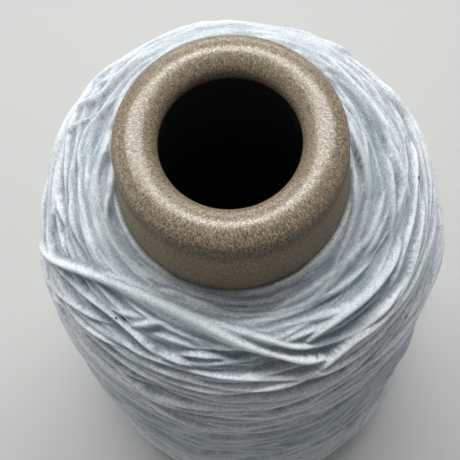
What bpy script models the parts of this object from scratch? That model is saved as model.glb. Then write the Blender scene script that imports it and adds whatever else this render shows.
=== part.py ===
"""A cone of yarn: a paperboard cone with a rolled nose, standing on its base,
with soft single yarn cross-wound round it.

Frame: metres, +Z up along the cone's axis, origin at the centre of the base rim.
Two solids: the paper cone, and the wound yarn that sits round it.
"""

import math

import bmesh
import bpy

MM = 0.001

# The paper cone: the common 5 degrees 57 minutes taper, 170 mm tall.
CONE_HEIGHT = 170.0 * MM
CONE_HALF_ANGLE = math.radians(5.95)
NOSE_RADIUS = 20.25 * MM  # outside, at the widest ring of the rolled lip
CONE_WALL = 2.8 * MM
LIP_HALF_WIDTH = 3.95 * MM  # radially, so the hole is 24.7 mm across
LIP_RISE = 3.1 * MM  # from the lip's widest ring up to its crest
THROAT_DEPTH = 5.2 * MM  # straight throat below the lip's widest ring
CURL_END_RISE = 3.2 * MM  # the rounded underside of the curl
BASE_EDGE = 0.4 * MM  # softened edges of the base rim
CONE_STEPS = 64

# The wound yarn: parallel to the paper cone, rounded over at both ends.
YARN_TOP = 152.5 * MM  # where the yarn meets the nose
YARN_BOTTOM = 8.7 * MM
YARN_DEPTH = 16.0 * MM  # mean thickness of the winding, measured radially
SHOULDER_HEIGHT = 54.2 * MM  # the long soft shoulder below YARN_TOP
SHOULDER_POWER = 3.12  # exponent of its superellipse
FOOT_RADIUS = 5.0 * MM  # rounding at the yarn's lower end
BORE_GAP = 0.3 * MM  # between the yarn's bore and the paper
YARN_STEPS = 72
SHOULDER_ROWS = 28
SIDE_ROWS = 36
FOOT_ROWS = 4

# Relief of the main passes of the cross-winding: two opposed families of broad ridges.
TURNS_PER_TRAVERSE = 2.25  # of one pass, from the nose to the foot
RIDGES_AROUND = 5
RIDGE_HEIGHT = 1.7 * MM
CROSSING_LAG = math.radians(36)  # the second family's start round the nose
SWELL_HEIGHT = 0.35 * MM  # the package's slight out-of-roundness
END_FADE = 0.09  # share of the winding's length over which the relief dies out

CONE_COLOUR = (0.36, 0.27, 0.17, 1.0)
YARN_COLOUR = (0.56, 0.64, 0.70, 1.0)

LIP_HEIGHT = CONE_HEIGHT - LIP_RISE  # height of the lip's widest ring
HOLE_RADIUS = NOSE_RADIUS - 2 * LIP_HALF_WIDTH
CONE_TAPER = math.tan(CONE_HALF_ANGLE)


def cone_radius(height):
    """Outside radius of the paper cone's straight wall at a height."""
    return NOSE_RADIUS + CONE_TAPER * (LIP_HEIGHT - height)


def arc(centre, radii, start, end, count):
    """Points (radius, height) along an elliptical arc, from a start to an end angle in degrees."""
    points = []
    for step in range(count + 1):
        angle = math.radians(start + (end - start) * step / count)
        radius = centre[0] + radii[0] * math.cos(angle)
        height = centre[1] + radii[1] * math.sin(angle)
        points.append((radius, height))
    return points


def cone_section():
    """The paper cone's wall, from the lip's crest down its outer side and back up inside."""
    lip_centre = (NOSE_RADIUS - LIP_HALF_WIDTH, LIP_HEIGHT)
    lip_radii = (LIP_HALF_WIDTH, LIP_RISE)
    lip_outer = arc(lip_centre, lip_radii, 90, 0, 7)
    lip_inner = arc(lip_centre, lip_radii, 180, 90, 7)[:-1]

    base_outer = cone_radius(0)
    base_inner = base_outer - CONE_WALL
    base_rim = [
        (base_outer, BASE_EDGE),
        (base_outer - BASE_EDGE, 0),
        (base_inner + BASE_EDGE, 0),
        (base_inner, BASE_EDGE),
    ]

    throat_end = LIP_HEIGHT - THROAT_DEPTH
    curl_end = throat_end - CURL_END_RISE
    wall_inside = cone_radius(curl_end) - CONE_WALL
    curl_half_width = (wall_inside - HOLE_RADIUS) / 2
    curl_centre = (HOLE_RADIUS + curl_half_width, throat_end)
    underside = arc(curl_centre, (curl_half_width, CURL_END_RISE), -90, -180, 4)
    return lip_outer + base_rim + [(wall_inside, curl_end)] + underside + lip_inner


def winding_outline():
    """Outer line of the winding, from the nose over the shoulder and down to its foot."""
    side_top = YARN_TOP - SHOULDER_HEIGHT
    inner = cone_radius(YARN_TOP) + BORE_GAP
    outer = cone_radius(side_top) + YARN_DEPTH
    points = []
    for row in range(SHOULDER_ROWS):
        angle = math.pi / 2 * row / SHOULDER_ROWS
        across = math.sin(angle) ** (2 / SHOULDER_POWER)
        up = math.cos(angle) ** (2 / SHOULDER_POWER)
        points.append((inner + (outer - inner) * across, side_top + SHOULDER_HEIGHT * up))

    foot_top = YARN_BOTTOM + FOOT_RADIUS
    for row in range(SIDE_ROWS):
        height = side_top + (foot_top - side_top) * row / SIDE_ROWS
        points.append((cone_radius(height) + YARN_DEPTH, height))

    foot_centre = (cone_radius(foot_top) + YARN_DEPTH - FOOT_RADIUS, foot_top)
    points += arc(foot_centre, (FOOT_RADIUS, FOOT_RADIUS), 0, -90, FOOT_ROWS)
    return points


def evenly_spaced(points, count):
    """The same line cut into equal lengths."""
    ends = [0.0]
    for start, end in zip(points, points[1:]):
        ends.append(ends[-1] + math.dist(start, end))
    spaced = [points[0]]
    segment = 0
    for step in range(1, count):
        wanted = ends[-1] * step / count
        while ends[segment + 1] < wanted:
            segment += 1
        along = (wanted - ends[segment]) / (ends[segment + 1] - ends[segment])
        start, end = points[segment], points[segment + 1]
        spaced.append(tuple(a + (b - a) * along for a, b in zip(start, end)))
    return spaced + [points[-1]]


def winding_relief(angle, share):
    """How far the winding stands out from its mean form.

    share runs from 0 at the nose to 1 at the foot, and below 0 on the bore.
    """
    if share < 0:
        return 0.0
    travel = 2 * math.pi * TURNS_PER_TRAVERSE * share
    rising = math.cos(RIDGES_AROUND * (angle - travel))
    falling = math.cos(RIDGES_AROUND * (angle + travel - CROSSING_LAG))
    swell = math.sin(2 * angle + 2 * math.pi * share)
    fade = min(1.0, share / END_FADE, (1 - share) / END_FADE)
    return fade * (RIDGE_HEIGHT / 2 * max(rising, falling) + SWELL_HEIGHT * swell)


def turned(name, section, steps, material, collection):
    """A closed section, listed down its outer side, to be turned round +Z by a Screw."""
    mesh = bpy.data.meshes.new(name)
    count = len(section)
    corners = [(radius, 0.0, height) for radius, height in section]
    mesh.from_pydata(corners, [(i, (i + 1) % count) for i in range(count)], [])
    piece = bpy.data.objects.new(name, mesh)
    collection.objects.link(piece)
    piece.data.materials.append(material)

    screw = piece.modifiers.new("Turn", "SCREW")
    screw.axis = "Z"
    screw.angle = 2 * math.pi
    screw.steps = screw.render_steps = steps
    screw.use_merge_vertices = True
    screw.merge_threshold = 0.01 * MM
    screw.use_smooth_shade = True
    return piece


def apply_modifiers(piece):
    """Makes the object's modified form its own mesh."""
    graph = bpy.context.evaluated_depsgraph_get()
    finished = bpy.data.meshes.new_from_object(piece.evaluated_get(graph))
    piece.modifiers.clear()
    piece.data = finished


def plain_material(name, colour, roughness):
    material = bpy.data.materials.new(name)
    material.use_nodes = True
    surface = material.node_tree.nodes["Principled BSDF"]
    surface.inputs["Base Color"].default_value = colour
    surface.inputs["Roughness"].default_value = roughness
    surface.inputs["Metallic"].default_value = 0.0
    return material


def build_paper_cone(collection):
    paperboard = plain_material("paperboard", CONE_COLOUR, 0.55)
    cone = turned("paper_cone", cone_section(), CONE_STEPS, paperboard, collection)
    apply_modifiers(cone)
    cone.data.set_sharp_from_angle(angle=math.radians(40))


def build_wound_yarn(collection):
    rows = SHOULDER_ROWS + SIDE_ROWS + FOOT_ROWS
    outline = evenly_spaced(winding_outline(), rows)
    bore_foot = (cone_radius(YARN_BOTTOM) + BORE_GAP, YARN_BOTTOM)
    slub_yarn = plain_material("slub_yarn", YARN_COLOUR, 0.95)
    yarn = turned("wound_yarn", outline + [bore_foot], YARN_STEPS, slub_yarn, collection)

    # Each point of the section carries its place along the winding round with it.
    shares = yarn.data.attributes.new("share", "FLOAT", "POINT")
    shares.data.foreach_set("value", [row / rows for row in range(rows + 1)] + [-1.0])
    apply_modifiers(yarn)

    raised = bmesh.new()
    raised.from_mesh(yarn.data)
    share_layer = raised.verts.layers.float["share"]
    raised.normal_update()
    for vertex in raised.verts:
        angle = math.atan2(vertex.co.y, vertex.co.x)
        vertex.co += vertex.normal * winding_relief(angle, vertex[share_layer])
    raised.to_mesh(yarn.data)
    raised.free()
    yarn.data.shade_smooth()


def main():
    for leftover in list(bpy.data.objects):
        bpy.data.objects.remove(leftover)
    collection = bpy.data.collections.new("cone_of_yarn")
    bpy.context.scene.collection.children.link(collection)
    build_paper_cone(collection)
    build_wound_yarn(collection)


main()
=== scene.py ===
import math
import random

import bpy
import numpy as np
from mathutils import Matrix, Vector


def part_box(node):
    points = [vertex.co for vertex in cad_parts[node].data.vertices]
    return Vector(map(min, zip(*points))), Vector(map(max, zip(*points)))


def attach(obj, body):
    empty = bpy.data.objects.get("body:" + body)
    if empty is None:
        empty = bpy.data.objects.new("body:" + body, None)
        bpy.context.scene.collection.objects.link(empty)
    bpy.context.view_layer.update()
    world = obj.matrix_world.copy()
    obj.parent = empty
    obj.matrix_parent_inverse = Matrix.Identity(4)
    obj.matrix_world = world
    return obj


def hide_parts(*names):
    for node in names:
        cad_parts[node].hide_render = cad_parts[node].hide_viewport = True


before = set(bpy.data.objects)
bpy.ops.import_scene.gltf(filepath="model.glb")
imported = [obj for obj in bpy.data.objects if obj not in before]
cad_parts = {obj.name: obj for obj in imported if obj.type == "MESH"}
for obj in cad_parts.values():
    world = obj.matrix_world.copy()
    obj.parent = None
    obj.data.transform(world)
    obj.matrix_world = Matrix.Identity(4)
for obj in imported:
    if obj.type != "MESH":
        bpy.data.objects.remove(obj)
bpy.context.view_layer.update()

mm = 0.001
photoSize = 460  # the photo is this many pixels each way

# the camera stands where the photo was taken from

camera = {
    "place": (-1.8 * mm, -56.6 * mm, 292.0 * mm),
    "down": 71.88,     # degrees below level, looking along +Y
    "roll": -6.91,     # degrees
    "lens": 63.04,
    "sensor": 36.0,    # mm
}


def cameraAxes():
    down, roll = math.radians(camera["down"]), math.radians(camera["roll"])
    ahead = Vector((0, math.cos(down), -math.sin(down)))
    right, up = Vector((1, 0, 0)), Vector((0, math.sin(down), math.cos(down)))
    rolledRight = right * math.cos(roll) + up * math.sin(roll)
    rolledUp = up * math.cos(roll) - right * math.sin(roll)
    return rolledRight, rolledUp, ahead


def makeCamera():
    right, up, ahead = cameraAxes()
    data = bpy.data.cameras.new("camera")
    data.lens, data.sensor_width = camera["lens"], camera["sensor"]
    data.clip_start, data.clip_end = 0.01, 20
    made = bpy.data.objects.new("camera", data)
    bpy.context.collection.objects.link(made)
    turn = Matrix((right, up, -ahead)).transposed().to_4x4()
    made.matrix_world = Matrix.Translation(Vector(camera["place"])) @ turn
    bpy.context.scene.camera = made


def photoRay(x, y):
    # the line of sight through a pixel of the photo
    right, up, ahead = cameraAxes()
    focal = camera["lens"] / camera["sensor"] * photoSize
    toward = ahead + right * ((x - photoSize / 2) / focal) + up * ((photoSize / 2 - y) / focal)
    return Vector(camera["place"]), toward.normalized()


makeCamera()
print("camera placed")

# sizes that the paper cone and the winding share

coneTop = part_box("paper_cone")[1].z
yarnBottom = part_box("wound_yarn")[0].z
meanRadius = 42 * mm    # of the winding, where a turn about it is measured roughly

core = {
    "top": coneTop,
    "taper": math.tan(math.radians(5.95)),
    "noseRadius": 20.25 * mm,    # at the lip's widest ring
    "wall": 2.8 * mm,
    "lipHalfWidth": 3.95 * mm,
    "lipRise": 3.1 * mm,
    "throatDepth": 5.2 * mm,
    "curlRise": 3.2 * mm,
    "baseEdge": 0.4 * mm,
    "steps": 160,
}
core["lipHeight"] = core["top"] - core["lipRise"]


def coneRadius(height):
    return core["noseRadius"] + core["taper"] * (core["lipHeight"] - height)


package = {
    "top": 152.5 * mm,
    "bottom": yarnBottom,
    "depth": 16.2 * mm,           # of the winding, radially
    "shoulder": 54.2 * mm,
    "power": 3.12,
    "foot": 5.0 * mm,
    "boreGap": 0.3 * mm,
}


def windingOutline():
    # radius and height from the nose over the shoulder, down the side and round the foot
    sideTop = package["top"] - package["shoulder"]
    inner = coneRadius(package["top"]) + package["boreGap"]
    outer = coneRadius(sideTop) + package["depth"]
    turn = np.radians(np.linspace(0, 90, 240))
    across = np.sin(turn) ** (2 / package["power"])
    rise = np.cos(turn) ** (2 / package["power"])
    radius = inner + (outer - inner) * across
    height = sideTop + package["shoulder"] * rise

    footTop = package["bottom"] + package["foot"]
    sideHeight = np.linspace(sideTop, footTop, 160)[1:]
    sideRadius = coneRadius(sideHeight) + package["depth"]
    footTurn = np.radians(np.linspace(0, -90, 24))[1:]
    footRadius = sideRadius[-1] - package["foot"] * (1 - np.cos(footTurn))
    footHeight = footTop + package["foot"] * np.sin(footTurn)
    flatRadius = np.linspace(footRadius[-1], coneRadius(package["bottom"]) + package["boreGap"], 30)[1:]
    radius = np.concatenate([radius, sideRadius, footRadius, flatRadius])
    height = np.concatenate([height, sideHeight, footHeight, np.full(29, package["bottom"])])
    return radius, height


def travelled(across, along):
    # how far along a line its points are, from the steps between them
    return np.concatenate([[0], np.cumsum(np.hypot(across, along))])


outlineRadius, outlineHeight = windingOutline()
outlineAlong = travelled(np.diff(outlineRadius), np.diff(outlineHeight))
fullLength = outlineAlong[-1]
evenAlong = np.linspace(0, fullLength, 1600)
evenRadius = np.interp(evenAlong, outlineAlong, outlineRadius)
evenHeight = np.interp(evenAlong, outlineAlong, outlineHeight)
slopeR, slopeH = np.gradient(evenRadius, evenAlong), np.gradient(evenHeight, evenAlong)
slopeSize = np.hypot(slopeR, slopeH)
evenNormalR, evenNormalH = -slopeH / slopeSize, slopeR / slopeSize
footAlong = float(np.interp(package["bottom"] + package["foot"], outlineHeight[::-1], outlineAlong[::-1]))


def onWinding(angle, along, lift):
    # points at an angle, a way along the outline and a lift off it; also their outward normals
    radius = np.interp(along, evenAlong, evenRadius)
    height = np.interp(along, evenAlong, evenHeight)
    normalR = np.interp(along, evenAlong, evenNormalR)
    normalH = np.interp(along, evenAlong, evenNormalH)
    size = np.hypot(normalR, normalH)
    normalR, normalH = normalR / size, normalH / size
    reach = radius + normalR * lift
    points = np.stack([reach * np.cos(angle), reach * np.sin(angle), height + normalH * lift], -1)
    normals = np.stack([normalR * np.cos(angle), normalR * np.sin(angle), normalH], -1)
    return points, normals


# small helpers for meshes and materials

def deselectAll():
    if bpy.context.object and bpy.context.object.mode != "OBJECT":
        bpy.ops.object.mode_set(mode="OBJECT")
    bpy.ops.object.select_all(action="DESELECT")


def meshPiece(name, verts, faces, material):
    mesh = bpy.data.meshes.new(name)
    mesh.from_pydata(verts.tolist(), [], faces.tolist())
    mesh.materials.append(material)
    piece = bpy.data.objects.new(name, mesh)
    bpy.context.collection.objects.link(piece)
    mesh.shade_smooth()
    return piece


class Wire:
    # a node's output, so that the maths of nodes reads like plain maths
    def __init__(self, nodes, socket):
        self.nodes, self.socket = nodes, socket

    def __add__(self, other):
        return self.nodes.math("ADD", self, other)

    def __sub__(self, other):
        return self.nodes.math("SUBTRACT", self, other)

    def __rsub__(self, other):
        return self.nodes.math("SUBTRACT", other, self)

    def __mul__(self, other):
        return self.nodes.math("MULTIPLY", self, other)

    def __truediv__(self, other):
        return self.nodes.math("DIVIDE", self, other)


class Nodes:
    # a short way to write a material's nodes
    def __init__(self, name):
        self.material = bpy.data.materials.new(name)
        self.material.use_nodes = True
        self.tree = self.material.node_tree
        self.column = 0

    def fill(self, node, inputs):
        # a socket takes a wire or a plain value
        for key, value in inputs.items():
            if isinstance(value, Wire):
                self.tree.links.new(value.socket, node.inputs[key])
            else:
                node.inputs[key].default_value = value

    def surface(self, inputs):
        self.fill(self.tree.nodes["Principled BSDF"], inputs)

    def add(self, kind, inputs, output=0, **settings):
        node = self.tree.nodes.new(kind)
        self.column += 1
        node.location = (-200 * self.column, 60 * (self.column % 5))
        for key, value in settings.items():
            setattr(node, key, value)
        self.fill(node, inputs)
        return Wire(self, node.outputs[output])

    def math(self, operation, *values):
        return self.add("ShaderNodeMath", dict(enumerate(values)), operation=operation)

    def place(self):
        return self.add("ShaderNodeTexCoord", {}, "Object")

    def attribute(self, name):
        return self.add("ShaderNodeAttribute", {}, "Fac", attribute_name=name)

    def split(self, vector):
        # x, y and z, and how far the point is from the axis
        outputs = self.add("ShaderNodeSeparateXYZ", {"Vector": vector}).socket.node.outputs
        x, y, z = [Wire(self, output) for output in outputs]
        return x, y, z, self.math("SQRT", x * x + y * y)

    def join(self, x, y, z):
        return self.add("ShaderNodeCombineXYZ", {"X": x, "Y": y, "Z": z})

    def mapped(self, value, low, high, atLow=0.0, atHigh=1.0):
        return self.add("ShaderNodeMapRange", {
            "Value": value, "From Min": low, "From Max": high, "To Min": atLow, "To Max": atHigh})

    def ramp(self, factor, stops):
        wire = self.add("ShaderNodeValToRGB", {"Fac": factor})
        elements = wire.socket.node.color_ramp.elements
        elements[0].position, elements[0].color = stops[0]
        elements[1].position, elements[1].color = stops[-1]
        for position, colour in stops[1:-1]:
            elements.new(position).color = colour
        return wire

    def noise(self, vector, scale, detail, roughness):
        return self.add("ShaderNodeTexNoise", {
            "Vector": vector, "Scale": scale, "Detail": detail, "Roughness": roughness}, "Fac")

    def mix(self, factor, first, second, blend="MIX"):
        return self.add("ShaderNodeMix", {"Factor": factor, "A": first, "B": second}, "Result",
                        data_type="RGBA", blend_type=blend)

    def bump(self, height, distance):
        return self.add("ShaderNodeBump", {"Height": height, "Strength": 1.0, "Distance": distance})


def mottledMaterial(name, look):
    # two shades in a fine pattern
    n = Nodes(name)
    tone = n.noise(n.place(), look["grain"], 2, look["grainRoughness"])
    n.surface({"Base Color": n.ramp(tone, [(0.35, look["dark"]), (0.65, look["light"])]),
               "Roughness": 0.8, "Specular IOR Level": look["specular"]})
    return n.material


def closedPiece(piece, apart, material):
    # merges the points that meet, with the faces outward
    bpy.ops.mesh.select_all(action="SELECT")
    bpy.ops.mesh.remove_doubles(threshold=apart)
    bpy.ops.mesh.normals_make_consistent(inside=False)
    bpy.ops.object.mode_set(mode="OBJECT")
    piece.data.materials.append(material)
    piece.data.shade_smooth()


# paperboard of the cone

kraft = {
    "light": (0.465, 0.378, 0.262, 1),
    "middle": (0.196, 0.148, 0.096, 1),
    "dark": (0.072, 0.051, 0.032, 1),
    "wall": (0.285, 0.238, 0.168, 1),
    # painted shade inside the cone: lighter deep in the bore, near black in the throat under the lip
    "bore": (0.09, 0.095, 0.10, 1),
    "throat": (0.014, 0.014, 0.015, 1),
    "speck": (0.05, 0.03, 0.018, 1),
    "lipRoughness": 0.3,
    "wallRoughness": 0.85,
    "skin": 0.42,             # how clear the skin is that the press left on the lip
    "skinRoughness": 0.07,
    "specular": 0.65,
    "tint": (1.0, 0.96, 0.88, 1),
    "grainRound": 0.018,      # the smaller, the longer the grain is round the axis
    "relief": 0.08 * mm,
    "skinRelief": 0.03 * mm,
}


def kraftMaterial():
    n = Nodes("kraftPaperboard")
    x, y, z, radius = n.split(n.place())
    lip = core["lipHeight"]
    # the grain follows the section over the lip's crest and is drawn out along it
    side = n.math("SIGN", radius - (core["noseRadius"] - core["lipHalfWidth"]))
    section = side * (z - core["top"]) - radius
    ringX, ringY = x / radius * kraft["grainRound"], y / radius * kraft["grainRound"]
    streak, fleck = [n.join(ringX, ringY, section * drawn) for drawn in (0.42, 0.7)]
    coarse = n.noise(fleck, 1900, 3, 0.6)
    grain = n.noise(streak, 4600, 3, 0.8) * 0.75 + coarse * 0.25
    colour = n.ramp(grain, [(0.405, kraft["dark"]), (0.50, kraft["middle"]), (0.615, kraft["light"])])

    # sparse dark specks
    specks = n.ramp(n.noise(fleck, 2600, 1, 0.4), [(0.25, (1, 1, 1, 1)), (0.29, (0, 0, 0, 1))])
    colour = n.mix(specks, colour, kraft["speck"])

    # below the pressed lip the board is duller and greyer
    below = n.mapped(z + coarse * 0.0006, lip - 3.2 * mm, lip + 1.4 * mm, 1, 0)
    colour = n.mix(below * 0.5, colour, kraft["wall"])
    # and darkest where the lip was pressed over: painted shade in the crease where the lip meets the wall
    creaseShade = n.mapped(n.math("ABSOLUTE", z - (lip - 0.8 * mm)), 0, 3 * mm, 0.42, 0)
    colour = n.mix(creaseShade, colour, kraft["dark"])
    # painted shade: inside, below the lip, the board is darkened, near black under the lip and less so deeper
    # in the bore
    within = n.math("LESS_THAN", radius + z * core["taper"], coneRadius(0) - 0.4 * core["wall"])
    deep = n.mapped(z, lip - 1.6 * mm, lip + 0.3 * mm, 1, 0)
    inner = n.mix(n.mapped(z, lip - 30 * mm, lip - 4 * mm), kraft["bore"], kraft["throat"])
    colour = n.mix(within * deep, colour, inner)

    # the lip is pressed smooth on its crest only, and its light flecks shine where the dark ones are dull
    pressed = n.mapped(z, lip + 0.3 * mm, lip + 2.4 * mm, 1, 0)
    rough = n.mapped(pressed, 0, 1, kraft["lipRoughness"], kraft["wallRoughness"])
    rough = n.math("MAXIMUM", rough + (0.49 - grain) * 1.6, 0.15)
    n.surface({
        "Base Color": colour, "Roughness": rough, "Normal": n.bump(grain, kraft["relief"]),
        "Coat Weight": (1.0 - pressed) * kraft["skin"], "Coat Normal": n.bump(grain, kraft["skinRelief"]),
        "Coat Roughness": kraft["skinRoughness"], "Specular IOR Level": kraft["specular"],
        "Specular Tint": kraft["tint"]})
    return n.material


def sectionArc(centre, radii, start, end, count):
    turn = np.radians(np.linspace(start, end, count))
    return np.stack([centre[0] + radii[0] * np.cos(turn), centre[1] + radii[1] * np.sin(turn)], -1)


def coneSection():
    lip = (core["noseRadius"] - core["lipHalfWidth"], core["lipHeight"])
    radii = (core["lipHalfWidth"], core["lipRise"])
    outer = sectionArc(lip, radii, 90, 4.7, 17)
    wallHeight = np.concatenate([core["lipHeight"] - np.array([0.4, 1.2, 2.2, 3.4]) * mm,
                                 np.linspace(core["lipHeight"] - 5 * mm, core["baseEdge"], 32)])
    wall = np.array([(coneRadius(h), h) for h in wallHeight])
    base, inside = coneRadius(0), coneRadius(0) - core["wall"]
    edge = core["baseEdge"]
    rim = np.array([(base - 0.3 * edge, 0.3 * edge), (base - edge, 0), (inside + edge, 0),
                    (inside + 0.3 * edge, 0.3 * edge)])
    throatEnd = core["lipHeight"] - core["throatDepth"]
    curlEnd = throatEnd - core["curlRise"]
    innerHeight = np.linspace(edge, curlEnd, 30)
    inner = np.array([(coneRadius(h) - core["wall"], h) for h in innerHeight])
    hole = core["noseRadius"] - 2 * core["lipHalfWidth"]
    halfWidth = (inner[-1][0] - hole) / 2
    under = sectionArc((hole + halfWidth, throatEnd), (halfWidth, core["curlRise"]), -60, -130, 6)
    throat = sectionArc(lip, (core["lipHalfWidth"], core["curlRise"]), 228, 186, 7)
    over = sectionArc(lip, radii, 180, 90, 16)[:-1]
    return np.concatenate([outer, wall, rim, inner, under, throat, over])


def makeCone():
    section = coneSection()
    deselectAll()
    bpy.ops.mesh.primitive_circle_add(vertices=len(section), radius=1, fill_type="NOTHING")
    piece = bpy.context.object
    piece.name = piece.data.name = "paperConeFine"
    for vertex, (radius, height) in zip(piece.data.vertices, section):
        vertex.co = (radius, 0, height)
    bpy.ops.object.mode_set(mode="EDIT")
    bpy.ops.mesh.select_all(action="SELECT")
    bpy.ops.mesh.spin(steps=core["steps"], angle=2 * math.pi, center=(0, 0, 0), axis=(0, 0, 1),
                      use_auto_merge=True)
    closedPiece(piece, 0.01 * mm, kraftMaterial())
    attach(piece, "root")
    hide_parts("paper_cone")


makeCone()
print("paper cone turned")

# yarn

yarnLook = {
    "light": (0.87, 0.905, 0.92, 1),
    "dark": (0.58, 0.62, 0.64, 1),
    "low": (0.69, 0.715, 0.74, 1),     # painted shade: what a low-lying strand's colour is multiplied by, also near the paper and on the shaded side wall
    "edge": (0.64, 0.675, 0.70, 1),    # and a strand's sides, where it melts into the rest: painted shade, the crest left light
    "roughness": 0.9,
    "sheen": 0.35,
    "specular": 0.15,
    "lightThrough": 0.7,               # how much of the light goes in and comes out again
    "lightDepth": 1.1 * mm,
    "mottle": 2.7,
    "fibreRound": 0.008,               # the smaller, the longer the fibres are round the package
    "fibreDepth": 0.2 * mm,
}
white = (1, 1, 1, 1)


def yarnMaterial():
    n = Nodes("slubYarn")
    place = n.place()
    x, y, z, radius = n.split(place)
    # the fibres lie round the package, so their pattern is drawn out that way
    drawn = yarnLook["fibreRound"]
    fibres = n.join(x / radius * drawn, y / radius * drawn, n.attribute("placeAlong"))
    streaks, clouds = n.noise(fibres, 3300, 3, 0.6), n.noise(fibres, 700, 2, 0.5)
    fluff = n.noise(place, 3000, 3, 0.7)
    tone = streaks * 0.35 + clouds * 0.2 + fluff * 0.45 + (n.attribute("strandTone") - 0.5) * 0.12
    colour = n.ramp(tone, [(0.38, yarnLook["dark"]), (0.60, yarnLook["light"])])
    # where the fibres are matted the face is smoother
    openness = 1.0 - n.attribute("strandMatted") * 0.75
    # painted light and shade: crests kept light, a strand's sides and low-lying turns darkened, as shade
    # falls between the strands
    crest = n.attribute("strandCrest") + (streaks - 0.5) * 0.4 + (fluff - 0.5) * yarnLook["mottle"] * openness
    for factor, shade in ((n.attribute("strandRaised"), yarnLook["low"]), (crest, yarnLook["edge"])):
        colour = n.mix(1.0, colour, n.mix(factor, shade, white), "MULTIPLY")
    height = streaks * 0.6 + fluff * 0.4
    n.surface({
        "Base Color": colour, "Normal": n.bump(height * openness, yarnLook["fibreDepth"]),
        "Roughness": yarnLook["roughness"], "Sheen Weight": yarnLook["sheen"], "Sheen Roughness": 0.5,
        "Specular IOR Level": yarnLook["specular"], "Subsurface Weight": yarnLook["lightThrough"],
        "Subsurface Radius": (1, 1, 1), "Subsurface Scale": yarnLook["lightDepth"]})
    return n.material


slubYarn = yarnMaterial()

winding = {
    "seed": 11,
    "passes": 175,              # up to the nose and back to the foot, the inner ones first
    "halfWidth": 0.43 * mm,     # of a strand
    "halfHeight": 0.52 * mm,
    "advance": 11.5 * mm,       # along the outline for each radian, away from the turns
    "noseTurn": 4.6,            # radians over which a pass turns back at the nose
    "step": 0.5 * mm,           # between the points that find a strand's height
    "stiffness": 14.0,          # how little a taut strand dips between what carries it
    "bedded": 0.68,             # of its half height, how far a strand stands over what carries it
    "pressed": 0.75,            # the share of its relief that the settled winding keeps
    "sunk": 0.7 * mm,           # how far the mean face lies under the outline, which the crests reach
    "climb": 51,                # mm, how far from the nose the last passes turn back
    "scatter": 2.4,             # mm, of the places where they turn
    "inner": (30, 0.1, 4.5),    # so many first passes lie against the paper, this many mm from its end
    "stray": (23, 2, 30),       # one in so many turns back over the inner ones, this many mm from it
    "footEnd": (-5, 4),         # mm, how far past the foot's edge a pass goes
}
gridAround, gridAlong = 900, 720
relief = np.zeros((gridAround, gridAlong))
topTone, topSlant = relief.copy(), relief.copy()    # of the strand that lies on top
cellAlong = fullLength / (gridAlong - 1)


def anglesRound(count):
    return np.arange(count) * 2 * math.pi / count


gridAngle, gridPlace = anglesRound(gridAround), np.arange(gridAlong) * cellAlong


def cellOf(angle, along):
    column = np.round(angle / (2 * math.pi) * gridAround).astype(int) % gridAround
    row = np.clip(np.round(along / cellAlong).astype(int), 0, gridAlong - 1)
    return column, row


def bell(half, sigma):
    kernel = np.exp(-0.5 * (np.arange(-half, half + 1) / sigma) ** 2)
    return kernel / kernel.sum()


def blurred(field, reach):
    # smooths the field, round the package and then along it, over a reach in metres
    around = reach / (2 * math.pi * 46 * mm) * gridAround
    for sigma, mode in ((around, "wrap"), (reach / cellAlong, "edge")):
        half = int(3 * sigma) + 1
        wide = np.pad(field, [(half, half), (0, 0)], mode=mode)
        field = sum(weight * wide[k:k + len(field)] for k, weight in enumerate(bell(half, sigma))).T
    return field


def meanFace(field):
    # the field without its single strands: its mean on each ring, and its broad swells
    rings = smoothLine(field.mean(axis=0), 1.2 * mm / cellAlong)
    return rings[None, :] + blurred(field - rings[None, :], 9 * mm)


def smoothLine(values, sigma):
    half = max(1, int(3 * sigma))
    return np.convolve(np.pad(values, half, mode="edge"), bell(half, sigma), mode="valid")


def evenPath(angle, along):
    # the same route with points an even step apart
    radius = np.interp(along, evenAlong, evenRadius)
    way = travelled(np.diff(angle) * (radius[1:] + radius[:-1]) / 2, np.diff(along))
    stops = np.linspace(0, way[-1], max(16, int(way[-1] / winding["step"])))
    return np.interp(stops, way, angle), np.interp(stops, way, along), stops


def slubs(stops, chance, thick):
    # a single yarn's uneven thickness along its length
    knots = np.arange(0, stops[-1] + 30 * mm, 5 * mm)
    even = np.interp(stops, knots, [chance.gauss(0, 1) for _ in knots])
    factor = 1 + 0.14 * smoothLine(even, 6)
    for _ in range(int(stops[-1] / (110 * mm)) + 1):
        centre, reach = chance.uniform(0, stops[-1]), chance.uniform(6, 16) * mm
        factor += chance.uniform(0.15, 0.6) * np.exp(-((stops - centre) / reach) ** 2)
    return np.clip(factor * thick, 0.6, 2.6)


def fieldAt(field, angle, along):
    u = (angle / (2 * math.pi) * gridAround) % gridAround
    v = np.clip(along / cellAlong, 0, gridAlong - 1.001)
    i, j = np.floor(u).astype(int), np.floor(v).astype(int)
    fu, fv = u - i, v - j
    i1 = (i + 1) % gridAround
    i = i % gridAround
    low = field[i, j] * (1 - fu) + field[i1, j] * fu
    high = field[i, j + 1] * (1 - fu) + field[i1, j + 1] * fu
    return low * (1 - fv) + high * fv


strands = []


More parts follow.
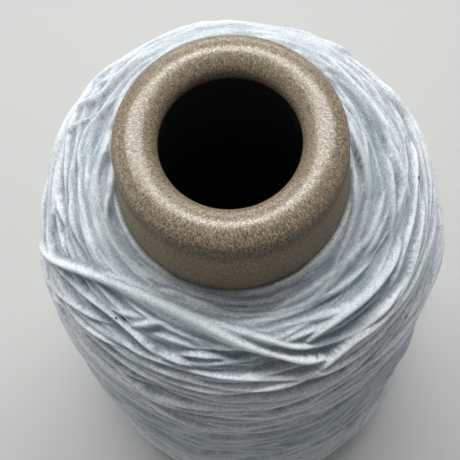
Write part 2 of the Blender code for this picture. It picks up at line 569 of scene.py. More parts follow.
def layStrand(angle, along, thick, chance, ends=None):
    # lays one strand on what is wound so far, and raises the relief under it
    angle, along, stops = evenPath(angle, along)
    size = slubs(stops, chance, thick)
    halfWidth, halfHeight = winding["halfWidth"] * size, winding["halfHeight"] * size ** 0.8
    radius = np.interp(along, evenAlong, evenRadius)
    dAngle, dAlong = np.gradient(angle) * radius, np.gradient(along)
    run = np.hypot(dAngle, dAlong)
    sideAround, sideAlong = -dAlong / run / radius, dAngle / run   # across the strand

    support = 0
    for share in (-0.6, -0.3, 0, 0.3, 0.6):
        column, row = cellOf(angle + sideAround * halfWidth * share, along + sideAlong * halfWidth * share)
        support = support + 0.2 * relief[column, row]
    taut = support.copy()
    for shift in range(1, 17):
        drop = winding["stiffness"] * (shift * winding["step"]) ** 2
        taut[shift:] = np.maximum(taut[shift:], support[:-shift] - drop)
        taut[:-shift] = np.maximum(taut[:-shift], support[shift:] - drop)
    taut = smoothLine(0.55 * taut + 0.45 * smoothLine(support, 6), 4)
    lift = taut + winding["bedded"] * halfHeight
    if ends:
        # its two ends go under the rest, each over its own reach
        inside = np.clip(np.minimum(stops / ends[0], (stops[-1] - stops) / ends[1]), 0, 1)
        lift = lift - dip["depth"] * (1 - inside) ** 1.5
        thin = 0.35 + 0.65 * inside
        halfWidth, halfHeight = halfWidth * thin, halfHeight * thin

    strand = {"angle": angle, "along": along, "lift": lift, "halfWidth": halfWidth,
              "halfHeight": halfHeight, "tone": chance.random()}
    strands.append(strand)
    raiseRelief(strand, dAlong / run)


def raiseRelief(strand, steep):
    # raises the relief under a strand, column by column, to the soft crown of its section
    order = np.argsort(strand["angle"])
    angle = strand["angle"][order]
    firstColumn, lastColumn = angle[0] * gridAround / (2 * math.pi), angle[-1] * gridAround / (2 * math.pi)
    column = np.arange(math.ceil(firstColumn), int(lastColumn))
    at = column * 2 * math.pi / gridAround
    along, lift, halfWidth, halfHeight, slant = [
        np.interp(at, angle, values[order]) for values in
        (strand["along"], strand["lift"], strand["halfWidth"], strand["halfHeight"], steep)]
    level = np.sqrt(1 - np.clip(slant, -0.95, 0.95) ** 2)
    middle = np.round(along / cellAlong).astype(int)
    column = column % gridAround
    for shift in range(-6, 7):
        row = middle + shift
        across = (row * cellAlong - along) * level / halfWidth
        inside = (np.abs(across) < 1.5) & (row >= 0) & (row < gridAlong)
        place = (column[inside], row[inside])
        crown = (1.5 - 1.5 * (across[inside] / 1.45) ** 2 - 0.55) * halfHeight[inside]
        height = lift[inside] + crown
        onTop = height > relief[place]
        np.maximum.at(relief, place, height)
        place = (place[0][onTop], place[1][onTop])
        topTone[place], topSlant[place] = strand["tone"], slant[inside][onTop]


def woundPasses():
    # one long yarn: up to the nose and back to the foot, again and again
    chance = random.Random(winding["seed"])
    start = 0.0
    for number in range(winding["passes"]):
        done = number / winding["passes"]
        nose = abs(done * winding["climb"] + chance.gauss(0, winding["scatter"])) * mm + 0.5 * mm
        if number < winding["inner"][0]:
            nose = chance.uniform(*winding["inner"][1:]) * mm
        if number % winding["stray"][0] == 7:
            nose = chance.uniform(*winding["stray"][1:]) * mm
        foot = footAlong + chance.uniform(*winding["footEnd"]) * mm
        soft = winding["noseTurn"] * chance.uniform(0.6, 1.3)
        advance = winding["advance"] * chance.uniform(0.93, 1.07)
        reach = math.sqrt(((foot - nose) / advance + soft) ** 2 - soft ** 2)
        t = np.linspace(-reach, reach, 900)
        along = nose + advance * (np.sqrt(t * t + soft * soft) - soft)
        along += 0.6 * mm * np.sin(t * chance.uniform(0.8, 1.6) + chance.uniform(0, 6))
        yield start + t + reach, np.clip(along, 0.5 * mm, fullLength), chance
        start += 2 * reach + chance.uniform(0.0, 0.35)


for angle, along, chance in woundPasses():
    layStrand(angle, along, chance.uniform(0.65, 1.1), chance)
loose = meanFace(relief)
relief = loose + (relief - loose) * winding["pressed"]
for strand in strands:
    face = fieldAt(loose, strand["angle"], strand["along"])
    strand["lift"] = face + (strand["lift"] - face) * winding["pressed"]
print("yarn wound:", len(strands), "passes, relief up to", round(float(relief.max()) / mm, 2), "mm")

# the turns that show on the shoulder, each followed through the photo, the lowest first
# (how thick it is, then the pixels that it passes)
tracedStrands = {
    "backOuter": (0.9, [(290, 26), (310, 33), (325, 40), (340, 48), (350, 53)]),
    "backLong": (1.1, [(320, 52), (332, 62), (342, 72), (352, 82), (362, 92), (370, 102), (380, 115),
        (388, 127), (395, 140), (399, 152)]),
    "backInner": (0.9, [(318, 68), (330, 76), (340, 84)]),
    "backNose": (0.9, [(340, 93), (348, 103), (355, 115), (360, 128)]),
    "backRim": (0.8, [(380, 84), (390, 93), (400, 103)]),
    "leftA1": (1.0, [(190, 43), (170, 51), (155, 60), (140, 70), (135, 75), (128, 87), (122, 96), (118, 104),
        (114, 114), (112, 124)]),
    "leftA2": (1.0, [(180, 42), (165, 45), (150, 52), (140, 60), (125, 68), (110, 78), (102, 88)]),
    "leftA3": (1.0, [(150, 48), (135, 57), (120, 68), (108, 80), (98, 90), (92, 98), (80, 106), (76, 114)]),
    "leftA5": (1.0, [(72, 126), (67, 135), (63, 145), (61, 155), (60, 165), (58, 175), (57, 190), (56, 205),
        (57, 218)]),
    "leftA6": (0.9, [(76, 158), (73, 168), (72, 178), (70, 188)]),
    "leftA7": (0.9, [(87, 163), (87, 175), (88, 185), (86, 195), (86, 205)]),
    "leftA8": (1.0, [(110, 133), (107, 143), (104, 153), (100, 161), (97, 170), (96, 180)]),
    "leftA9": (1.0, [(111, 162), (111, 175), (110, 185), (110, 198), (109, 210)]),
    "leftA4": (1.05, [(122, 94), (114, 98), (106, 104), (100, 112), (94, 120), (88, 126), (84, 132),
        (81, 140), (79, 150), (78, 158), (79, 163), (82, 175), (84, 185)]),
    "leftL2": (0.9, [(53, 190), (53, 230), (56, 250)]),
    "leftL3": (0.9, [(58, 195), (57, 215), (57, 228)]),
    "leftL4": (0.9, [(64, 197), (64, 210), (66, 218), (68, 225)]),
    "leftL12": (1.0, [(133, 243), (138, 250), (144, 258)]),
    "leftL11": (0.9, [(118, 223), (120, 232), (124, 240), (128, 247)]),
    "leftL10": (0.9, [(108, 190), (106, 200), (107, 215), (108, 225)]),
    "leftL9": (1.0, [(93, 208), (95, 217), (98, 228), (102, 240), (107, 250), (112, 260), (118, 270)]),
    "leftL8": (1.0, [(83, 222), (86, 232), (90, 240), (95, 250), (100, 262), (104, 270)]),
    "leftL5": (1.1, [(76, 190), (74, 200), (73, 212), (73, 222), (77, 232), (82, 242), (85, 250)]),
    "leftL6": (1.1, [(62, 232), (65, 240), (69, 250), (72, 258), (75, 263)]),
    "rightT8": (1.0, [(353, 165), (358, 178), (355, 200), (356, 210), (354, 220), (351, 228), (348, 236),
        (345, 244), (341, 252), (336, 260), (332, 268), (330, 276)]),
    "rightT1": (1.0, [(350, 120), (352, 130), (356, 140), (360, 150), (363, 156), (366, 165), (367, 175),
        (368, 190), (368, 205), (367, 214)]),
    "rightT7": (1.0, [(384, 217), (381, 226), (377, 236), (373, 244), (368, 252), (362, 258), (355, 266)]),
    "rightT6": (1.0, [(385, 188), (383, 198), (380, 208), (377, 216), (374, 226), (371, 236), (366, 243),
        (360, 250), (352, 256)]),
    "rightT3": (0.9, [(384, 150), (388, 158), (391, 168), (392, 180), (393, 192), (393, 205), (392, 216),
        (391, 228), (390, 240)]),
    "rightT3b": (0.9, [(383, 128), (390, 138), (396, 148), (399, 156), (401, 166), (404, 178), (408, 190),
        (410, 198)]),
    "rightT5": (0.8, [(427, 203), (426, 215), (423, 225), (421, 235), (419, 245), (416, 256), (413, 268),
        (411, 280), (405, 292), (398, 302), (390, 312)]),
    "rightT9": (0.8, [(402, 232), (401, 242), (400, 250)]),
    "rightT4": (1.0, [(417, 150), (418, 172), (418, 198), (417, 208), (415, 220), (412, 230), (411, 240),
        (409, 252), (406, 262), (403, 270), (400, 278)]),
    "right7": (1.0, [(365, 240), (355, 252), (342, 266), (336, 275), (330, 284)]),
    "frontG": (0.9, [(290, 310), (280, 312), (270, 315), (262, 318)]),
    "frontF": (0.9, [(300, 288), (290, 291), (282, 294), (274, 298), (265, 301)]),
    "frontD": (1.0, [(325, 265), (318, 270), (312, 274), (305, 278), (297, 283)]),
    "frontE": (0.9, [(330, 275), (322, 283), (315, 287), (307, 292), (300, 296), (292, 301), (284, 305),
        (275, 309), (265, 313)]),
    "frontC": (0.95, [(365, 300), (358, 305), (352, 308), (345, 310), (335, 313), (325, 316), (315, 318),
        (305, 320.5), (298, 322), (290, 324), (280, 327), (270, 329.5), (262, 330), (255, 330)]),
    "frontB": (0.85, [(375, 255), (370, 261), (365, 266), (358, 273), (352, 279), (345, 285), (338, 290),
        (330, 293), (323, 297), (317, 302), (313, 306)]),
    "rightI": (1.0, [(380, 335), (372, 340), (365, 345), (358, 350), (352, 354)]),
    "rightH": (0.9, [(385, 318), (378, 325), (370, 331), (362, 335), (355, 341), (348, 347), (340, 354),
        (333, 358), (326, 363), (320, 368), (313, 373)]),
    "rightJ": (1.0, [(373, 345), (358, 356), (345, 362), (335, 367), (325, 370), (315, 372), (305, 376)]),
    "lowN0": (1.0, [(100, 336), (108, 341), (116, 346), (125, 350)]),
    "lowN3": (1.0, [(160, 352), (170, 356), (180, 360), (190, 363), (200, 366)]),
    "lowN1": (0.95, [(127, 345), (137, 350), (145, 355), (152, 359), (160, 361), (168, 364), (176, 367),
        (185, 369), (195, 371), (205, 373.5), (215, 376), (225, 377), (235, 377.5), (250, 378), (260, 379),
        (270, 380), (290, 380), (300, 380), (305, 378)]),
    "lowO1": (1.1, [(182, 352), (190, 353), (200, 355), (208, 357), (216, 357.5), (225, 358.5), (232, 360)]),
    "lowM5": (0.9, [(112, 308), (125, 311), (140, 318), (150, 319)]),
    "lowM7": (1.05, [(148, 331), (155, 333), (163, 334), (170, 337), (178, 341), (186, 344), (194, 345),
        (200, 347)]),
    "lowM6": (1.0, [(130, 324), (140, 323), (150, 321.5), (160, 320.5), (170, 322), (177, 325)]),
    "lowM3": (0.9, [(62, 297), (70, 303), (80, 312), (90, 318), (100, 322), (110, 327)]),
    "lowM2": (0.9, [(50, 285), (58, 297), (65, 305), (70, 312)]),
    "lowM1": (1.0, [(64, 277), (72, 285), (80, 291), (90, 299), (100, 305), (107, 311), (114, 318),
        (120, 322), (126, 326), (133, 331), (140, 337), (146, 342), (152, 347), (156, 351), (160, 355)]),
    "noseC1": (1.0, [(150, 287), (160, 290), (170, 292), (180, 293), (188, 297), (196, 301)]),
    "noseC2": (1.0, [(183, 297), (195, 302), (205, 306), (215, 309), (230, 313)]),
    "frontA": (1.0, [(400, 255), (396, 262), (391, 270), (385, 278), (380, 284), (375, 290), (370, 294),
        (362, 300), (355, 307), (350, 311), (344, 316), (337, 320), (330, 326), (322, 330), (314, 334),
        (308, 338), (302, 342), (297, 346)]),
    "bold3": (1.05, [(95, 270), (110, 274), (125, 280), (140, 286), (150, 291), (160, 297), (170, 303),
        (180, 308), (190, 313), (200, 317)]),
    "bold2": (1.15, [(200, 317), (210, 321), (215, 324), (225, 327), (235, 329), (245, 333), (260, 337),
        (270, 339.5), (280, 343), (290, 346), (300, 348), (310, 347), (320, 344), (330, 340.5), (340, 336.5),
        (350, 332), (360, 327), (368, 321), (375, 315), (385, 308)]),
    "bold1": (1.55, [(50, 260), (62, 264), (75, 268), (90, 273), (110, 279), (120, 285), (130, 290),
        (140, 295), (150, 300), (160, 304), (170, 308.5), (180, 313), (190, 318), (200, 323), (210, 328),
        (220, 333), (228, 337), (236, 341), (245, 346), (260, 349.5), (270, 353), (280, 357), (290, 360),
        (300, 361), (320, 360)]),
}


def underPixels(pixels, standing):
    # where the lines of sight through these pixels meet the winding, this far off its mean face
    angle, along = [], []
    drop = np.linspace(package["top"] + 5 * mm, package["bottom"], 3000)
    for (x, y), lift in zip(pixels, standing):
        radius, height = evenRadius + evenNormalR * lift, evenHeight + evenNormalH * lift
        reachAt = np.interp(-drop, -height[:1500], radius[:1500], left=0)
        start, toward = photoRay(x, y)
        far = (drop - start.z) / toward.z
        px, py = start.x + toward.x * far, start.y + toward.y * far
        apart = np.hypot(px, py) - reachAt
        inside = np.flatnonzero(apart < 0)
        at = inside[0] if len(inside) else int(np.argmin(apart))
        angle.append(math.atan2(py[at], px[at]))
        nearest = np.argmin((radius - math.hypot(px[at], py[at])) ** 2 + (height - drop[at]) ** 2)
        along.append(evenAlong[nearest])
    return np.unwrap(angle), np.array(along)


def throughPoints(angle, along, before, after, down, turned):
    # a smooth curve through the followed points, carried on past both ends to dip under the rest
    def carriedOn(end, inner, beyond):
        around, down = angle[end] - angle[inner], along[end] - along[inner]
        apart = math.hypot(around * meanRadius, down)
        return angle[end] + around * beyond / apart, along[end] + down * beyond / apart

    way = math.copysign(turned / meanRadius, angle[0] - angle[1])
    halfway, first = carriedOn(0, 1, before / 2), carriedOn(0, 1, before)
    last = carriedOn(-1, -2, after)
    angle = np.concatenate([[first[0] + way, halfway[0] + 0.08 * way], angle, [last[0]]])
    along = np.concatenate([[first[1] + down, halfway[1] + down * 0.4], along, [last[1]]])
    knots = travelled(np.diff(angle) * meanRadius, np.diff(along))
    fine = np.arange(0, knots[-1], 0.4 * mm)
    angle, along = np.interp(fine, knots, angle), np.interp(fine, knots, along)
    return smoothLine(angle, 8), smoothLine(along, 8)


# where the winding is hollow: how far the hollow reaches and how deep it is, in mm, and its middle line
# in the photo's pixels
hollows = {
    "underBold": (3.2, 0.94, [(68, 274), (80, 282), (95, 288), (112, 293)]),
    "underBoldLow": (2.6, 0.36, [(85, 303), (100, 309)]),
    "belowFork": (2.6, 1.1, [(155, 331), (175, 335), (195, 338), (214, 342)]),
    "belowForkLow": (2.0, 0.36, [(172, 350), (186, 355)]),
    "noseFront": (3.6, 1.6, [(185, 274), (205, 284), (228, 290), (252, 291), (276, 288), (298, 279)]),
    "betweenBold": (1.6, 0.86, [(250, 343), (262, 347), (283, 353)]),
    "belowBold": (2.0, 0.94, [(272, 372), (288, 374), (303, 370)]),
    "rightFork": (1.8, 0.79, [(330, 352), (345, 348)]),
    "rightForkUp": (1.4, 0.72, [(318, 306), (331, 300)]),
    "rightLine1": (0.8, 0.86, [(372, 120), (385, 142), (395, 162), (403, 185)]),
    "rightLine2": (0.8, 0.86, [(330, 68), (350, 88), (370, 112), (392, 150)]),
    "rightLine3": (0.8, 0.86, [(300, 34), (330, 50), (362, 72), (390, 98)]),
    "leftLine": (0.9, 0.72, [(105, 128), (97, 146), (92, 165)]),
}


# where loose fibres hide the strands: how far, how much and the middle line
matted = {
    "backTop": (11, 0.97, [(170, 36), (205, 28), (235, 26), (265, 27), (300, 34)]),
    "topLeft": (8, 0.5, [(100, 98), (120, 78), (150, 56), (175, 40)]),
}

# and where the whole package is a little flat: how far, how deep and the middle line
flats = {"leftShoulder": (12, 1.6, [(47, 168), (45, 185), (44, 200), (43, 214)])}


def hollowField(places):
    # how deep these hollows are, all over the winding
    sunk = np.zeros_like(relief)
    for reach, depth, pixels in places.values():
        angle, along = underPixels(pixels, [0.3 * mm] * len(pixels))
        knots = travelled(np.diff(angle) * meanRadius, np.diff(along))
        fine = np.arange(0, knots[-1], 0.25 * reach * mm)
        for a, s in zip(np.interp(fine, knots, angle), np.interp(fine, knots, along)):
            radius = np.interp(s, evenAlong, evenRadius)
            da = (np.angle(np.exp(1j * (gridAngle - a))) * radius)[:, None]
            ds = (gridPlace - s)[None, :]
            np.maximum(sunk, depth * mm * np.exp(-(da * da + ds * ds) / (reach * mm) ** 2), out=sunk)
    return sunk


softFace = {
    "blur": 0.13 * mm,         # how soft the strands' crowns are
    "fillReach": 0.9 * mm,
    "furrow": 0.27 * mm,       # how deep the furrows stay below the mean of what is round them
    "melt": 0.05 * mm,
    "around": 640,             # points round the package
    "shoulderRow": 0.28 * mm,
    "sideRow": 0.42 * mm,
    "footRow": 1.2 * mm,
    "thick": 4.5 * mm,
    "bulge": 1.4 * mm,         # of the side
    "sideMat": 0.84,           # how much of the strands' relief the loose fibres hide on the side
    "crest": (0.46, 0.42 * mm),    # of the painted crest shade: how light a strand is at its mean height, and over what rise it gets so
    "sideShade": 0.9,
}
dip = {"beyond": 5, "reach": 8 * mm, "depth": 2.0 * mm}    # how a followed turn's ends go under
# the turns that go on further past their ends, in mm, before the first point and after the last;
# the last two numbers are how far the first end turns down the side and round the package meanwhile
carried = {
    "bold1": (22, 6, 5, 46), "lowM1": (10, 5, 4, 32), "lowM2": (8, 5, 3, 26), "lowM3": (8, 5, 5, 28),
    "lowN0": (12, 5, 4, 16), "frontA": (12, 5), "bold2": (6, 12), "frontC": (10, 5), "leftL2": (14, 10),
    "leftA5": (10, 8), "rightT5": (14, 10), "rightT4": (10, 8), "backOuter": (12, 10), "backRim": (8, 12),
    "rightH": (9, 6), "rightJ": (9, 6), "rightI": (9, 6), "lowN1": (7, 9),
}
hollow, flat = hollowField(hollows), hollowField(flats)
relief = relief - hollow
for strand in strands:
    strand["lift"] = strand["lift"] - fieldAt(hollow, strand["angle"], strand["along"])
woundFirst, reliefFirst = len(strands), relief.copy()
standing = {name: [0.5 * mm] * len(pixels) for name, (thick, pixels) in tracedStrands.items()}
for attempt in range(3):     # a strand's height shifts it in the photo, so it's laid again at that height
    relief[:] = reliefFirst
    del strands[woundFirst:]
    chance = random.Random(5)
    followed = {}
    for name, (thick, pixels) in tracedStrands.items():
        atAngle, atAlong = underPixels(pixels, standing[name])
        before, after, down, turned = (carried.get(name, (dip["beyond"], dip["beyond"])) + (0, 0))[:4]
        angle, along = throughPoints(atAngle, atAlong, before * mm, after * mm, down * mm, turned * mm)
        ends = (max(dip["reach"], 0.9 * (before + turned) * mm), max(dip["reach"], 0.9 * after * mm))
        layStrand(angle, np.clip(along, 0.8 * mm, fullLength), thick, chance, ends)
        followed[name] = (atAngle, atAlong)
    ground = meanFace(relief) + winding["sunk"] + flat
    for (name, (atAngle, atAlong)), strand in zip(followed.items(), strands[woundFirst:]):
        own = [int(np.argmin((strand["angle"] - a) ** 2 + ((strand["along"] - s) / meanRadius) ** 2))
               for a, s in zip(atAngle, atAlong)]
        standing[name] = [float(v) for v in strand["lift"][own] - fieldAt(ground, atAngle, atAlong)]
print("shoulder turns followed:", len(tracedStrands))

# loose fibres fill the furrows, so the face is soft and no furrow is deep
mat = hollowField(matted) / mm
side = np.clip((gridPlace - package["shoulder"] + 6 * mm) / (14 * mm), 0, 1)[None, :]
mat = np.maximum(mat, softFace["sideMat"] * side)
crowns = blurred(relief, softFace["blur"])
crowns = crowns + (blurred(relief, 0.7 * mm) - crowns) * mat
fill = blurred(relief, softFace["fillReach"]) - softFace["furrow"]
filled = fill + softFace["melt"] * np.logaddexp(0, (crowns - fill) / softFace["melt"])
bulge = softFace["bulge"] * np.exp(-((gridPlace - package["shoulder"] - 36 * mm) / (30 * mm)) ** 2)
surface = filled - ground + bulge[None, :]     # how far the face stands out from the package's mean form
# painted light and shade: a strand is lighter on its crest than on its sides; where matted this is evened
# out, darker on the side
crestMiddle, crestRise = softFace["crest"]
crestField = np.clip(crestMiddle + (crowns - blurred(relief, 0.9 * mm)) / crestRise, 0, 1)
crestField = crestField + (0.72 - 0.2 * side - crestField) * mat
raisedField = np.clip((filled - ground + flat + winding["sunk"] + 0.6 * mm) / (1.5 * mm), 0, 1)
# near the paper the turns lie in its shade, matted and low
raisedField = raisedField * np.clip(0.15 + gridPlace / (18 * mm), 0, 1)[None, :]
# and the side wall is in the shade of the shoulder
wallShade = side * np.clip((footAlong - gridPlace) / (70 * mm), 0, 1)[None, :]
raisedField = raisedField * (1 - softFace["sideShade"] * wallShade)
# the innermost turn lies round the paper; its colour is left unshaded there, a painted pale line of light
# through its fibres
innermost = np.exp(-((gridPlace - 0.35 * mm) / (0.3 * mm)) ** 2)[None, :]
surface = surface + 0.3 * mm * innermost
crestField, raisedField = np.maximum(crestField, innermost), np.maximum(raisedField, innermost)


def faceLift(angle, along):
    fade = np.clip((fullLength - along) / (2 * mm), 0, 1)
    return fieldAt(surface, angle, along) * fade


def facePlace(angle, along):
    place = onWinding(angle, along, faceLift(angle, along))[0]
    first = along < 0.05 * mm    # this row lies against the paper
    radius = np.hypot(place[..., 0], place[..., 1])
    wanted = coneRadius(place[..., 2]) - 0.05 * mm
    place[first, :2] *= (wanted / radius)[first, None]
    return place


fuzz = {
    "fibres": 52000,
    "perPiece": 26000,
    "stations": 4,
    "halfWidth": 0.017 * mm,
    "length": (0.5, 2.6),     # mm
    "lift": (0.02, 0.4),      # mm, how far a fibre's free end stands off the yarn
    "wild": 0.10,             # the share of them that stand further off
    "wildLift": (0.4, 2.2),
    "onSide": 0.4,            # of the fibres that the shoulder has, on the side wall
    "tuft": (0.2, 0.05, 0.45),    # the share in a tufted stretch of the rim, its angle and its reach
    "tuftWild": 0.7,
    "slant": 28,              # degrees off the strand that a fibre lies on
    "curl": 22,               # degrees from one station to the next
    "grain": 900,
    "grainRoughness": 0.5,
    "dark": (0.44, 0.50, 0.54, 1),
    "light": (0.68, 0.73, 0.76, 1),
    "specular": 0.2,
}


def makeFuzz():
    # loose fibres, each a thin curled ribbon that starts in a strand and lies or stands along it
    chance = np.random.default_rng(3)
    count = fuzz["fibres"]
    share = evenRadius * np.where(evenAlong < package["shoulder"] + 12 * mm, 1.0, fuzz["onSide"])
    share = np.where(evenAlong > footAlong + 8 * mm, 0, share)
    along = evenAlong[chance.choice(len(evenAlong), count, p=share / share.sum())]
    along = along + chance.uniform(0, 0.1 * mm, count)
    angle = chance.uniform(0, 2 * math.pi, count)
    tufted = chance.random(count) < fuzz["tuft"][0]
    angle = np.where(tufted, chance.normal(fuzz["tuft"][1], fuzz["tuft"][2], count), angle)
    along = np.where(tufted, chance.normal(package["shoulder"] + 2 * mm, 7 * mm, count), along)
    column, row = cellOf(angle, along)
    heading = np.arcsin(topSlant[column, row]) + np.radians(chance.normal(0, fuzz["slant"], count))
    heading += np.where(chance.random(count) < 0.5, 0, math.pi)
    step = chance.uniform(*fuzz["length"], count) * mm / (fuzz["stations"] - 1)
    curl = np.radians(chance.normal(0, fuzz["curl"], count))
    wobble = chance.uniform(0, 2 * math.pi, count)
    rise = np.interp(chance.random(count) ** 2, (0, 1), fuzz["lift"])
    wild = chance.random(count) < np.where(tufted, fuzz["tuftWild"], fuzz["wild"])
    rise = np.where(wild, np.interp(chance.random(count) ** 1.5, (0, 1), fuzz["wildLift"]), rise) * mm
    places, normals = [], []
    for station in range(fuzz["stations"]):
        share = station / (fuzz["stations"] - 1)
        lift = faceLift(angle, along) - 0.03 * mm + rise * np.sin(share * (1.3 + 0.2 * wobble)) ** 1.3
        place, normal = onWinding(angle, along, lift)
        places.append(place)
        normals.append(normal)
        angle = angle + np.cos(heading) * step / np.interp(along, evenAlong, evenRadius)
        along = np.clip(along + np.sin(heading) * step, 0.3 * mm, fullLength)
        heading = heading + curl + np.radians(18) * np.sin(wobble + 2.6 * station)
    places, normals = np.stack(places, 1), np.stack(normals, 1)
    side = np.cross(normals, np.gradient(places, axis=1))
    side /= np.linalg.norm(side, axis=2)[..., None]
    thin = fuzz["halfWidth"] * np.linspace(1, 0.45, fuzz["stations"])[None, :, None]
    verts = np.stack([places - side * thin, places + side * thin], 2).reshape(count, -1, 3)
    quad = np.array([[0, 2, 3, 1]]) + 2 * np.arange(fuzz["stations"] - 1)[:, None]
    material = mottledMaterial("looseFibre", fuzz)
    for number in range(0, count, fuzz["perPiece"]):
        some = verts[number:number + fuzz["perPiece"]]
        faces = (np.arange(len(some))[:, None, None] * some.shape[1] + quad[None]).reshape(-1, 4)
        name = f"looseFibres_{number // fuzz['perPiece'] + 1}"
        piece = meshPiece(name, some.reshape(-1, 3), faces, material)
        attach(piece, "root")


makeFuzz()
print("loose fibres laid")


underBody = {
    "dark": (0.26, 0.29, 0.32, 1),
    "light": (0.48, 0.52, 0.56, 1),
    "rows": 70,
    "boreRows": 16,
    "steps": 128,
    "below": 4.2 * mm,     # the outline
}


def turnedRing(name, section, values, material):
    # a closed ring round the package: a grid wrapped both ways, its meeting edges merged
    around, count = section.shape[:2]
    deselectAll()
    bpy.ops.mesh.primitive_grid_add(x_subdivisions=around, y_subdivisions=count, size=0.1)
    piece = bpy.context.object
    piece.name = piece.data.name = name

    def wrapped(part):
        return np.pad(part, [(0, 1), (0, 1)] + [(0, 0)] * (part.ndim - 2), mode="wrap").swapaxes(0, 1)
    piece.data.vertices.foreach_set("co", wrapped(section).ravel())
    for attributeName, part in values.items():
        attribute = piece.data.attributes.new(attributeName, "FLOAT", "POINT")
        attribute.data.foreach_set("value", wrapped(part).ravel())
    bpy.ops.object.mode_set(mode="EDIT")
    closedPiece(piece, 0.0002 * mm, material)
    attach(piece, "root")
    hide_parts("wound_yarn")
    return piece


def faceNormals(angle, along):
    # of the face itself, so that no seam shows between two rings
    turn, way = 0.25 * mm / np.interp(along, evenAlong, evenRadius), 0.14 * mm
    acrossFace = facePlace(angle + turn, along) - facePlace(angle - turn, along)
    lower, upper = np.minimum(along + way, fullLength), np.maximum(along - way, 0.06 * mm)
    normal = np.cross(facePlace(angle, lower) - facePlace(angle, upper), acrossFace)
    normal /= np.linalg.norm(normal, axis=-1)[..., None]
    outward = onWinding(angle, along, 0 * along)[1]
    return normal * np.sign((normal * outward).sum(axis=-1))[..., None]


def makeFaceRing(name, rows):
    # one ring of the winding's soft face, closed below by its own inner side
    turn = anglesRound(softFace["around"])
    angle, along = np.meshgrid(turn, rows, indexing="ij")
    innerAngle, innerAlong = np.meshgrid(turn, np.linspace(rows[-1], rows[0], 4), indexing="ij")
    thick = softFace["thick"] * np.clip(0.25 + innerAlong / (8 * mm), 0, 1)
    inside = onWinding(innerAngle, innerAlong, -thick)[0]
    section = np.concatenate([facePlace(angle, along), inside], axis=1)
    onFace = np.concatenate([np.ones(angle.shape), np.zeros(innerAngle.shape)], axis=1)
    angle, along = np.concatenate([angle, innerAngle], axis=1), np.concatenate([along, innerAlong], axis=1)
    column, cell = cellOf(angle, along)
    piece = turnedRing(name, section, {
        "strandTone": topTone[column, cell], "strandRaised": raisedField[column, cell],
        "strandCrest": crestField[column, cell], "strandMatted": mat[column, cell],
        "placeAlong": along, "placeAngle": angle, "onFace": onFace}, slubYarn)
    angle, along, onFace = [np.zeros(len(piece.data.vertices)) for _ in range(3)]
    for attributeName, values in (("placeAngle", angle), ("placeAlong", along), ("onFace", onFace)):
        piece.data.attributes[attributeName].data.foreach_get("value", values)
    inward = -onWinding(angle, along, 0 * along)[1]
    normals = np.where(onFace[:, None] > 0.5, faceNormals(angle, along), inward)
    piece.data.normals_split_custom_set_from_vertices(normals.tolist())


def makeUnderWinding():
    # the closed body under the face, with its bore
    along = np.linspace(7 * mm, fullLength - 1 * mm, underBody["rows"])
    lift = -underBody["below"] * np.clip((fullLength - along) / (6 * mm), 0.1, 1)
    boreHeight = np.linspace(package["bottom"] + 1 * mm, package["top"] - 6 * mm, underBody["boreRows"])
    turn = anglesRound(underBody["steps"])
    outer = onWinding(*np.meshgrid(turn, along, indexing="ij"), lift[None, :])[0]
    angle, height = np.meshgrid(turn, boreHeight, indexing="ij")
    reach = coneRadius(height) + package["boreGap"]
    bore = np.stack([reach * np.cos(angle), reach * np.sin(angle), height], -1)
    turnedRing("underWinding", np.concatenate([outer, bore], axis=1), {}, deepYarnMaterial())


def deepYarnMaterial():
    # the fuzzy mass between the strands, in their shade
    n = Nodes("deepYarn")
    x, y, z, radius = n.split(n.place())
    tone = n.noise(n.join(x / radius * 0.02, y / radius * 0.02, z - radius), 1500, 4, 0.65)
    n.surface({
        "Base Color": n.ramp(tone, [(0.35, underBody["dark"]), (0.65, underBody["light"])]),
        "Normal": n.bump(tone, 0.6 * mm), "Roughness": 0.95, "Specular IOR Level": 0.1})
    return n.material


makeUnderWinding()
shoulderEnd, sideEnd = package["shoulder"] + 14 * mm, footAlong - 2 * mm
footRows = int((fullLength - sideEnd) / softFace["footRow"])
faceRows = np.concatenate([np.arange(0, shoulderEnd, softFace["shoulderRow"]),
                           np.arange(shoulderEnd, sideEnd, softFace["sideRow"]),
                           np.linspace(sideEnd, fullLength, footRows)])
cuts = np.linspace(0, len(faceRows) - 1, 5).astype(int)
for number, (first, last) in enumerate(zip(cuts[:-1], cuts[1:])):
    makeFaceRing(f"woundFace_{number + 1}", faceRows[first:last + 1])
print("winding built:", len(faceRows), "rows of", softFace["around"])

# bits of chaff that the yarn has caught: their size in mm and the pixel where each one lies
chaff = {"chaff_1": ((0.6, 0.34, 0.25), (120, 321)), "chaff_2": ((0.3, 0.2, 0.15), (113, 320)),
         "chaff_3": ((0.4, 0.2, 0.15), (418, 178)), "chaff_4": ((0.45, 0.22, 0.15), (408, 318)),
         "chaff_5": ((0.5, 0.25, 0.2), (357, 56))}
chaffLook = {
    "grain": 3000,
    "grainRoughness": 0.6,
    "dark": (0.05, 0.022, 0.015, 1),
    "light": (0.20, 0.10, 0.06, 1),
    "specular": 0.5,
}


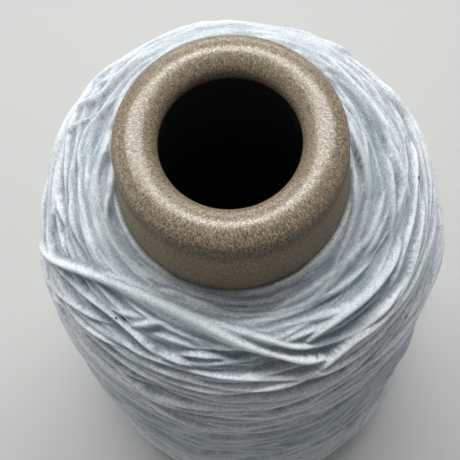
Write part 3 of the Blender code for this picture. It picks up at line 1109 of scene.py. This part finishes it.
def makeChaff():
    material = mottledMaterial("chaff", chaffLook)
    for name, (size, pixel) in chaff.items():
        angle, along = underPixels([pixel], [0.0])
        centre, normal = onWinding(angle[0], along[0], faceLift(angle, along)[0] + 0.05 * mm)
        tangent = Vector((-math.sin(angle[0]), math.cos(angle[0]), 0.15)).normalized()
        side = Vector(normal).cross(tangent)
        deselectAll()
        bpy.ops.mesh.primitive_ico_sphere_add(subdivisions=2, radius=1)
        piece = bpy.context.object
        piece.name = piece.data.name = name
        for vertex in piece.data.vertices:
            x, y, z = vertex.co * mm
            bent = z * size[2] + 0.3 * size[0] * (x / mm) ** 2 * mm
            vertex.co = Vector(centre) + tangent * x * size[0] + side * y * size[1] + Vector(normal) * bent
        piece.data.materials.append(material)
        piece.data.shade_smooth()
        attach(piece, "root")


makeChaff()
print("chaff laid on the yarn")

# floor and light

studio = {
    "floor": (0.60, 0.605, 0.59, 1),
    "sky": (0.92, 0.94, 0.95, 1),
    "skyStrength": 0.265,
    "aim": (0, 0, 120 * mm),
}
# where each light stands, its width, its height and its power
lights = {
    "window": ((0.01, 0.24, 0.61), 0.62, 0.17, 3.4),
    "paleWall": ((0.1, 0.87, 0.36), 1.0, 0.4, 2.5),
    "paleCard": ((-0.75, 0.14, 0.28), 0.7, 0.25, 0.9),
}


def makeFloor():
    deselectAll()
    bpy.ops.mesh.primitive_plane_add(size=3, location=(0, 0, 0))
    floor = bpy.context.object
    floor.name = "floor"
    n = Nodes("paleFloor")
    n.surface({"Base Color": studio["floor"], "Roughness": 0.7})
    floor.data.materials.append(n.material)


def areaLight(name, place, width, height, power):
    data = bpy.data.lights.new(name, "AREA")
    data.shape, data.size, data.size_y = "RECTANGLE", width, height
    data.energy = power
    light = bpy.data.objects.new(name, data)
    bpy.context.collection.objects.link(light)
    light.location = place
    toward = Vector(studio["aim"]) - Vector(place)
    light.rotation_euler = toward.to_track_quat("-Z", "Y").to_euler()


def makeLight():
    world = bpy.data.worlds.new("studio")
    world.use_nodes = True
    sky = world.node_tree.nodes["Background"].inputs
    sky["Color"].default_value, sky["Strength"].default_value = studio["sky"], studio["skyStrength"]
    bpy.context.scene.world = world
    for name, (place, width, height, power) in lights.items():
        areaLight(name, place, width, height, power)


makeFloor()
makeLight()
bpy.context.scene.view_settings.view_transform = "Standard"
print("floor and light set")
